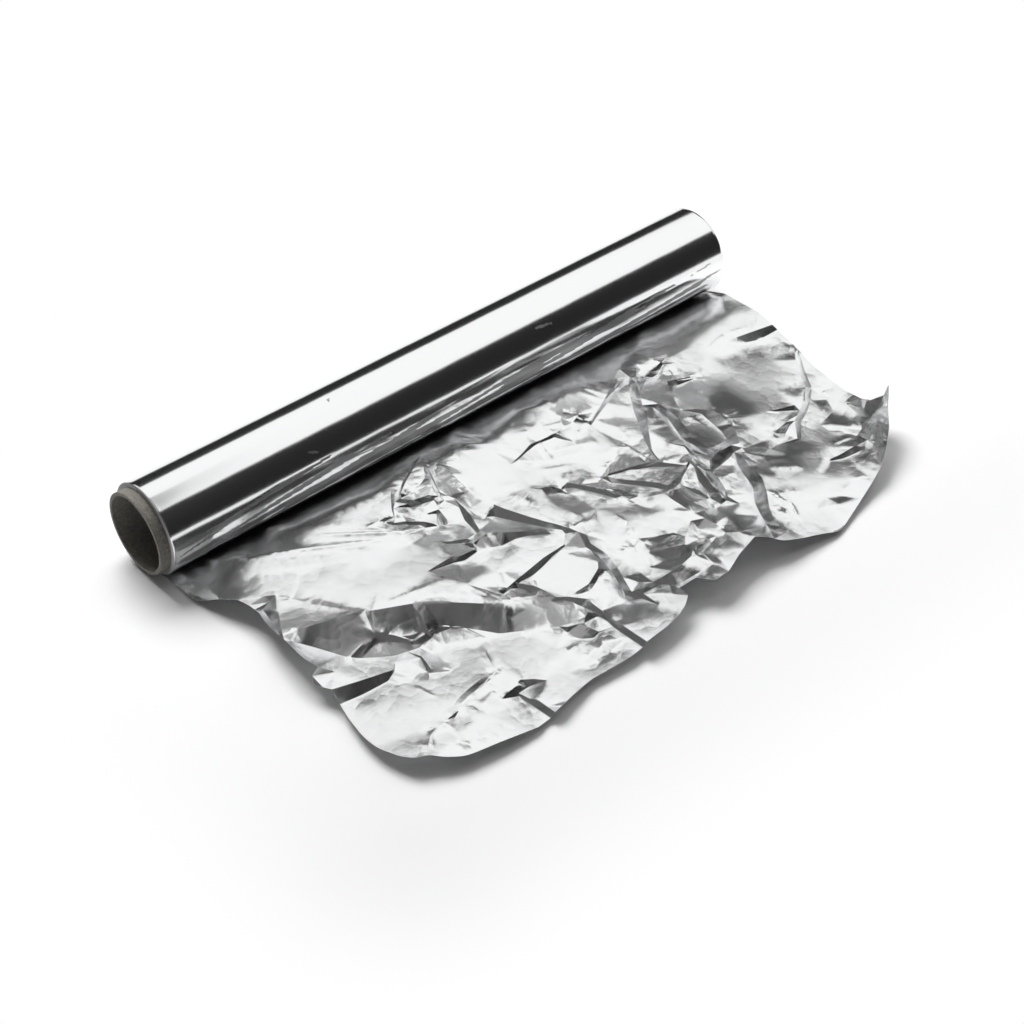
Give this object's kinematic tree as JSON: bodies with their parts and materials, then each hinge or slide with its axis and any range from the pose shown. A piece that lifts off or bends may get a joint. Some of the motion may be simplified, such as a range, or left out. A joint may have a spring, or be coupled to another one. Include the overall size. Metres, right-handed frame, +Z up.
{
  "type": "aluminium foil roll",
  "caption": "Roll of household aluminium foil on a cardboard core, with its free end pulled out from under the roll and crumpled.",
  "frame": {"origin": "on the axis of the core, at the middle of the foil's width", "axes": "+X along the roll, away from the end where the core stands out; the pulled sheet goes towards -Y from under the roll; +Z up"},
  "size_m": [0.3049, 0.1883, 0.04],
  "materials": {
    "cardboard": "plain grey-beige spiral-wound board",
    "foil": "bright on the outside of the roll, satin on the upper face of the pulled sheet"
  },
  "bodies": {
    "root": {"core_tube": "cardboard", "foil": "foil"}
  },
  "joints": []
}
